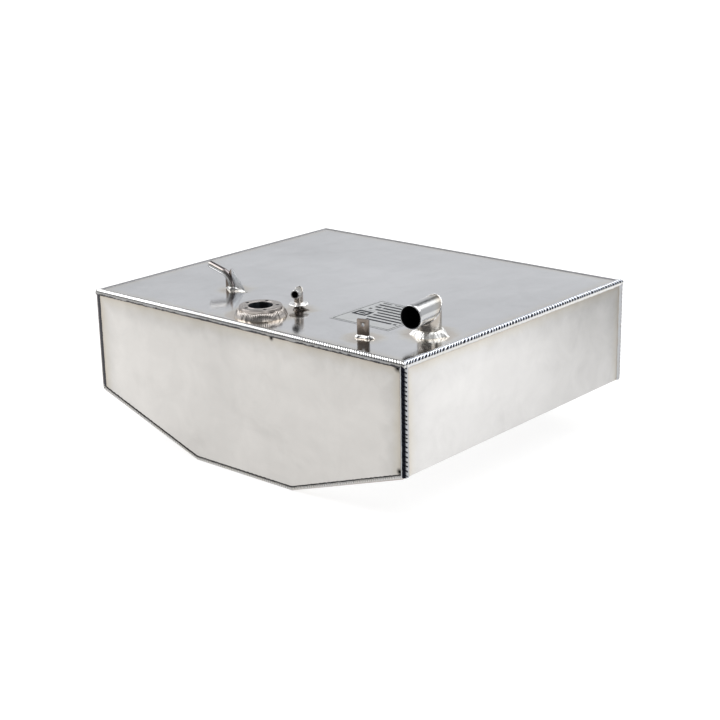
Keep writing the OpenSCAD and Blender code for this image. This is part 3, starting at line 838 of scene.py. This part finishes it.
def turn_of(mount):
    """The turn of a level tube away from -Y."""
    x, y, _ = MOUNTS[mount]["axis"]
    return math.atan2(x, -y)


def axis_of(node):
    """The middle of a node, seen from above, on the top plate."""
    low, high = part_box(node)
    return ((low.x + high.x) / 2, (low.y + high.y) / 2, TOP_Z)


def mouth_of(mount):
    """The free end of a tube that a hose goes on."""
    m = MOUNTS[mount]
    return np.array(m["pos_m"]) + np.array(m["axis"]) * m["dims"]["length_mm"] / 2 * MM


def tube_size(name):
    """A tube's outside radius and its wall, from its hose end and its mouth."""
    r = MOUNTS[name + "_hose_end"]["dims"]["r_mm"] * MM
    return r, r - MOUNTS[name + "_mouth"]["dims"]["r_mm"] * MM


def set_finish(node, material):
    """Gives a CAD node a better finish."""
    mesh = frame["nodes"][node].data
    mesh.materials.clear()
    mesh.materials.append(material)


def build_sheets():
    """The finishes of the plates, which keep their CAD shape."""
    w, l, z = HALF_W, HALF_L, TOP_Z
    middle = (0, 0, z - 0.25)
    # The three sheet finishes are one stainless sheet in lit and shaded copies: the front one is darker,
    # painted shade, and the top one bluer, a painted reflection of the sky.
    front = sheet_finish(
        "front sheet", (0.580, 0.562, 0.538), (w, 9, 0.25), middle, 0.30, (1.2, 90, 26.0), 3.2,
        (-0.13, 0, -0.20), 0.19,
        # front spots: a painted pool of light at the left end; painted shade under the top bead near the
        # right corner and at x 75 mm, and at the right corner above the slope
        spots=(((-w, -l, 0.13), 0.25, 0.10), ((w - 12 * MM, -l, z - 9 * MM), 10 * MM, -0.8),
               ((w - 11 * MM, -l, SLOPE_Z + 9 * MM), 8 * MM, -0.8),
               ((0.075, -l, z - 10 * MM), 7 * MM, -0.9)))
    wrap = sheet_finish(
        "side sheet", (0.69, 0.68, 0.668), (9, l, 0.25), middle, 0.30, (90, 1.4, 24.0), 2.6,
        (0, -0.26, -0.45), 0.12,
        # side spots: painted shade over the far upper corner, a painted pool of light on the near half
        spots=(((w, l, z), 0.30, -0.26), ((w, -0.12, 0.2), 0.16, 0.06)))
    top = sheet_finish(
        "top sheet", (0.66, 0.665, 0.678), (w, l, 9), (0, 0, 0), 0.13, (70.0, 1.5, 2), 2.4,
        (0.02, 0.0, 0), 0.03,
        # top spots: painted reflection, lighter in the middle and darker at the two left corners
        spots=(((0.0, 0.05, z), 0.25, 0.07), ((-w, l, z), 0.3, -0.06), ((-w, -l, z), 0.22, -0.08)),
        feet=((axis_of("filler_stub"), 29 * MM), (axis_of("vent_riser"), 12 * MM), (SENDER_AT, 44 * MM),
              (axis_of("earth_tab"), 14 * MM), (axis_of("supply_base_weld"), 12 * MM)))
    for node, material in (("front_end_plate", front), ("rear_end_plate", front), ("wrapper", wrap),
                           ("top_plate", top), ("left_baffle", wrap), ("right_baffle", wrap)):
        set_finish(node, material)


def build_beads():
    """The beads along the body's edges, in lit and shaded copies of one weld finish: the ones that the light
    catches are painted bright, the rest painted dark as painted shade.
    """
    # front: leg is a darker painted shade on the lower flank, with a painted shadow line below it
    front = bead_finish("front weld bead", (0.62, 0.62, 0.62), (0.03, 0.03, 0.034), 0.85, shadow_line=1.0,
                        groove_to=0.7, leg=(0.30, 0.30, 0.30), line_at=0.82)
    # right: a bluish painted highlight, and dark teeth painted in as reflected shade
    right = bead_finish("right weld bead", (0.72, 0.76, 0.84), (0.008, 0.010, 0.018), 2.2, shadow_line=0.15,
                        band=(0.47, 0.66), groove_to=1.0, leg=(0.70, 0.70, 0.70))
    # corner: a core painted near black as the dark reflection it shows
    corner = bead_finish("corner weld bead", (0.42, 0.43, 0.45), (0.006, 0.007, 0.011), 1.0, 1.0,
                         (0.48, 0.62))
    # left: the whole bead painted near black as shade
    left = bead_finish("left corner weld bead", (0.06, 0.06, 0.065), (0.02, 0.02, 0.025), 0.8, tint=0.0)
    # far_shaded: a darker copy for the far beads, painted shade
    far_shaded = bead_finish("dull weld bead", (0.30, 0.30, 0.31), (0.10, 0.10, 0.11), 0.3, roughness=0.45,
                       tint=0.0)
    # seam: a painted shadow line and a darker lower flank, painted shade
    plain = bead_finish("seam weld bead", (0.55, 0.54, 0.53), (0.04, 0.04, 0.04), 0.7, shadow_line=1.0,
                        roughness=0.34, leg=(0.3, 0.29, 0.28), line_at=0.74)
    w, l, z = HALF_W, HALF_L, TOP_Z

    def smooth_start(d):
        return 0.10 + 0.90 * smooth(d, 0.16, 0.24)

    # side, start, end, outward, finish, roughening; proud, ripple, lean, bow and where they differ
    # from the others the rounded start and the pitch
    top = [
        ("front", (-w, -l, z), (w, -l, z), (0, -1, 0), front, smooth_start,
         (0.8, 0.24, 0.0, 0.3, True, 4.7 * MM)),
        ("right", (w, -l, z), (w, l, z), (1, 0, 0), right, None, (0.7, 0.22, 1.1, 0.0)),
        ("rear", (w, l, z), (-w, l, z), (0, 1, 0), far_shaded, None, (-1.3, 0.10, 0.0, 0.3)),
        ("left", (-w, l, z), (-w, -l, z), (-1, 0, 0), far_shaded, None, (-1.3, 0.10, 0.0, 0.3)),
    ]
    for i, (side, start, end, out, material, rough, shape) in enumerate(top):
        node = "top_weld_" + side
        edge_bead(node + "_bead", node, start, end, out, (0, 0, 1), material, rough, 11 + i, 1.0, *shape)
    low, high = SLOPE_Z + 1.5 * MM, z - 1 * MM
    corners = [
        ("front_right", 1, -1, corner, 0.7, 0.45), ("front_left", -1, -1, left, -1.2, 0.2),
        ("rear_right", 1, 1, corner, 0.7, 0.45), ("rear_left", -1, 1, corner, 0.7, 0.45),
    ]
    for i, (where, sx, sy, material, proud, ripple) in enumerate(corners):
        node = "corner_weld_" + where
        edge_bead(node + "_bead", node, (sx * w, sy * l, low), (sx * w, sy * l, high), (sx, 0, 0), (0, sy, 0),
                  material, None, 31 + i, 0.0, proud, ripple, 1.1, 0.1)
    seam_bead("seam_weld_front_bead", "seam_weld_front", -1, plain, 51)
    seam_bead("seam_weld_rear_bead", "seam_weld_rear", 1, plain, 52)
    for node in ("left_baffle_welds", "right_baffle_welds"):
        set_finish(node, plain)


def elbow(name, stub, neck, stub_finish, neck_finish, bead_material, sunk, size, ripples):
    """An upright tube and a level one, mitred and welded. Their sizes and places are the CAD's. The
    bead round the mitre is size thick and sunk into the tubes. Gives the foot's place and radius."""
    end = name + "_hose_end"
    upright, level = f"{name}_{stub}", f"{name}_{neck}"
    at, turn = axis_of(upright), turn_of(end)
    r, wall = tube_size(name)
    rise = MOUNTS[end]["pos_m"][2] - TOP_Z
    reach = float(np.hypot(*(mouth_of(end)[:2] - np.array(at[:2]))))
    drop = TOP_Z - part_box(upright)[0].z
    mitred_tube(upright + "_tube", upright, at, turn, r, wall, rise, drop, False, stub_finish)
    mitred_tube(level + "_tube", level, at, turn, r, wall, rise, reach, True, neck_finish)
    mitre_bead(name + "_mitre_bead", name + "_mitre_weld", at, turn, r - sunk, rise, size, bead_material,
               ripples)
    return at, r


def supply_line():
    """The middle of the supply tube: up the foot, round part of a circle, and straight on to the hose
    end. The bend's radius and height follow from the foot and the hose end."""
    m = MOUNTS["supply_hose_end"]
    low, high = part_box("supply_tube")
    axis = np.array(m["axis"])
    bend = math.acos(axis[2])
    tail = m["dims"]["length_mm"] * MM
    bend_end = np.array(m["pos_m"]) - axis * tail / 2
    foot_x, foot_y = high.x - m["dims"]["r_mm"] * MM, m["pos_m"][1]
    bend_r = (foot_x - bend_end[0]) / (1 - math.cos(bend))
    bend_z = bend_end[2] - bend_r * math.sin(bend)
    q = np.linspace(0, bend, 28)
    arc = np.stack([foot_x - bend_r * (1 - np.cos(q)), 0 * q + foot_y, bend_z + bend_r * np.sin(q)], -1)
    z = np.linspace(low.z + 1 * MM, bend_z, 13)[:-1]
    leg = np.stack([np.full(12, foot_x), np.full(12, foot_y), z], -1)
    end = bend_end + axis * np.linspace(0, tail - 1 * MM, 10)[1:, None]
    return np.concatenate([leg, arc, end])


def build_fittings():
    """The filler, vent, supply tube, level sender, earth tab and label on the top plate."""
    # bore: the colour painted into the tubes' insides as painted shade
    bore = (0.02, 0.02, 0.022)
    bright = bead_finish("bright weld bead", (0.66, 0.655, 0.65), (0.10, 0.10, 0.105), 0.55)
    tube = tube_finish("polished tube", (0.54, 0.545, 0.55), 0.14, bore)
    tab = tab_finish("heat-browned plate", brown_to=HALF_W)  # all of it
    collar = bead_finish("sender weld collar", (0.62, 0.58, 0.55), (0.03, 0.025, 0.022), 1.0, roughness=0.25,
                         tint=0.5, groove_to=1.0)
    grey = bead_finish("grey foot bead", (0.60, 0.60, 0.595), (0.08, 0.078, 0.076), 0.8, roughness=0.32,
                       tint=0.5)
    splash = bead_finish("bright foot bead", (0.88, 0.88, 0.87), (0.16, 0.155, 0.15), 0.5, roughness=0.42,
                         tint=0.4)
    at, r = elbow("filler", "stub", "neck", tube, tube, bright, 0.2 * MM, 1.4 * MM, 22)
    foot_bead("filler_foot_bead", "filler_base_weld", at, r, 8.5 * MM, 9 * MM, splash, 20,
              [(math.radians(215), 0.16, 3.5 * MM), (math.radians(10), 0.18, 7 * MM),
               (math.radians(300), 0.3, 2 * MM)], 61, 0.35, 1.0)

    riser = tube_finish("heat-darkened tube", (0.60, 0.60, 0.605), 0.16, bore, 11 * MM)
    at, r = elbow("vent", "riser", "snout", riser, tube, bright, 0.3 * MM, 1.3 * MM, 12)
    flare = tube_finish("bright collar", (0.9, 0.9, 0.9), 0.32, (0.8, 0.8, 0.8))
    flared_collar("vent_flared_collar", at, r, flare)
    foot_bead("vent_foot_bead", "vent_base_weld", at, r, 2.6 * MM, 3 * MM, riser, 10,
              [(math.radians(20), 0.4, 9 * MM)], 63, 0.3, 0.4)

    line = supply_line()
    foot_x, foot_y = line[0, :2]
    r, wall = tube_size("supply")
    # The bent tube's finish is a darker copy of the polished tube's, painted shade.
    bent_tube("supply_bent_tube", "supply_tube", line, r, wall,
              tube_finish("bent tube", (0.44, 0.44, 0.44), 0.14, bore))
    softened("supply_fins", "supply_gusset", 0.2 * MM, tab_finish("plate browned on one side", foot_x))
    foot_bead("supply_foot_bead", "supply_base_weld", (foot_x, foot_y, TOP_Z), r, 4 * MM, 5 * MM, grey, 9,
              [(0.0, 0.22, 27 * MM), (math.pi, 0.3, 9 * MM)], 65, 0.3, 0.8)

    low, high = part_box("sender_flange")
    ring_r = SENDER_AT[0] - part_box("sender_flange_weld")[0].x - 8.5 * MM
    turned_ring(SENDER_AT, low.z - TOP_Z, high.z - TOP_Z, ring_r, MOUNTS["sender_bore"]["dims"]["r_mm"] * MM,
                24 * MM, turned_finish())
    foot_bead("level_sender_weld_collar", "sender_flange_weld", SENDER_AT, ring_r - 0.6 * MM, 8.9 * MM,
              11 * MM, collar, 84, (), 67, 0.62, 0.7)

    softened("earth_tab_plate", "earth_tab", 0.35 * MM, tab)
    tab_bead(bright)
    set_finish("label_plate", label_finish(*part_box("label_plate")))


def tab_bead(material):
    """The bead round the earth tab's foot: a rounded box outline, its toe drawn out at both ends."""
    turn = math.radians(14)
    half, thick = 10 * MM, 1.5 * MM
    a = np.linspace(0, TAU, 220, endpoint=False)[:, None]
    ring_x = half * np.sign(np.cos(a)) * np.abs(np.cos(a)) ** 0.35
    ring_y = thick * np.sign(np.sin(a)) * np.abs(np.sin(a)) ** 0.35
    t = np.linspace(0, 1, 12)[None, :]
    crest = scallop(a * 9 / TAU + 0.4 * t)
    reach = (5.2 + 0.7 * wander(a, 1.0, 71)) * MM + 4.5 * MM * np.exp(-(np.minimum(a, TAU - a) / 0.35) ** 2)
    x = ring_x + reach * t * np.cos(a)
    y = ring_y + reach * t * np.sin(a)
    z = 5 * MM * (1 - t ** 1.5) ** 0.9 + 0.7 * MM * (crest - 0.4) * np.sin(math.pi * t)
    z[:, -1] = -0.1 * MM
    inner = ((x, ring_x * 0.9), (y, ring_y * 0.5), (z, 0 * a - 0.5 * MM))
    points = np.stack([closed(values, last) for values, last in inner], -1)
    piece("earth_tab_bead", placed(points, axis_of("earth_tab"), turn), material,
          "earth_tab_weld", foot_masks(t, crest), 70)


# ---------------------------------------------------------------- studio and camera

def build_studio():
    """A pale floor, a world of soft light and shade for the metal to mirror, and two wide soft suns.
    The world is a ramp up the sky, darker on the front right side, with two pale panels."""
    floor_mesh = bpy.data.meshes.new("floor")
    size = 40.0
    floor_mesh.from_pydata([(-size, -size, 0), (size, -size, 0), (size, size, 0), (-size, size, 0)], [],
                           [(0, 1, 2, 3)])
    floor = bpy.data.objects.new("floor", floor_mesh)
    bpy.context.scene.collection.objects.link(floor)
    material, _, shader = finish_of("pale floor", metallic=0.0)
    shader.inputs["Base Color"].default_value = (0.35, 0.35, 0.35, 1)
    shader.inputs["Roughness"].default_value = 0.9
    shader.inputs["Emission Color"].default_value = (1, 1, 1, 1)
    shader.inputs["Emission Strength"].default_value = 0.78
    floor_mesh.materials.append(material)

    world = bpy.data.worlds.new("studio")
    bpy.context.scene.world = world
    world.use_nodes = True
    tree = world.node_tree
    direction = tree.nodes.new("ShaderNodeTexCoord").outputs["Generated"]
    z = parts(tree, direction)[2]
    levels = [(0.0, 0.72), (0.42, 0.77), (0.48, 0.10), (0.56, 0.06), (0.60, 0.8), (0.67, 0.8), (0.71, 0.07),
              (0.86, 0.06), (0.93, 0.6), (1.0, 0.6)]
    sky = ramp_of(tree, z, [(place, (level * 0.985, level * 0.995, level * 1.02)) for place, level in levels])
    facing = vectors(tree, "DOT_PRODUCT", direction, (0.66, -0.75, 0))
    shut = product(tree, span(tree, facing, -0.05, 0.30), span(tree, z, 0.60, 0.85, 1.0, 0.0))
    sky = blend(tree, shut, sky, (0.17, 0.172, 0.178, 1))
    # the panels' aims, the cosines of their outer and inner edges, and their brightness
    panels = (((-0.62, -0.30, 0.72), 0.88, 0.95, 1.7), ((0.93, -0.28, 0.24), 0.95, 0.985, 1.4))
    for aim, edge, full, level in panels:
        near = vectors(tree, "DOT_PRODUCT", direction, Vector(aim).normalized())
        sky = blend(tree, span(tree, near, edge, full), sky, (level, level, level * 1.01, 1))
    tree.links.new(sky, tree.nodes["Background"].inputs[0])
    tree.nodes["Background"].inputs[1].default_value = 1.0

    for name, direction, strength, angle in (
        ("key", (0.25, 0.55, 1.0), 1.7, 60), ("left", (-0.63, -0.30, 0.72), 0.9, 40),
    ):
        light = bpy.data.lights.new(name, "SUN")
        light.energy, light.angle = strength, math.radians(angle)
        lamp = bpy.data.objects.new(name, light)
        lamp.rotation_euler = Vector(direction).to_track_quat("Z", "Y").to_euler()
        bpy.context.scene.collection.objects.link(lamp)


def build_camera():
    """Stands off from the middle of the top plate at an azimuth from -Y towards +X and an elevation,
    rolled about its own line of sight, with the aim moved across the view."""
    azimuth, elevation, roll = (math.radians(v) for v in (41.26, 17.64, -1.17))
    distance, aside, above = 2.632, -0.0022, 0.1279
    level = math.cos(elevation)
    back = Vector((math.sin(azimuth) * level, -math.cos(azimuth) * level, math.sin(elevation)))
    right = Vector((0, 0, 1)).cross(back).normalized()
    up = back.cross(right)
    x_axis = math.cos(roll) * right + math.sin(roll) * up
    y_axis = -math.sin(roll) * right + math.cos(roll) * up
    place = Vector((0, 0, TOP_Z)) + back * distance - x_axis * aside - y_axis * above
    data = bpy.data.cameras.new("camera")
    data.lens, data.sensor_width = 77.16, 36.0
    data.clip_end = 200
    camera = bpy.data.objects.new("camera", data)
    camera.matrix_world = Matrix((
        (x_axis.x, y_axis.x, back.x, place.x), (x_axis.y, y_axis.y, back.y, place.y),
        (x_axis.z, y_axis.z, back.z, place.z), (0, 0, 0, 1)))
    bpy.context.scene.collection.objects.link(camera)
    bpy.context.scene.camera = camera
    bpy.context.scene.view_settings.view_transform = "Standard"


build_camera()
build_studio()
build_sheets()
build_beads()
build_fittings()
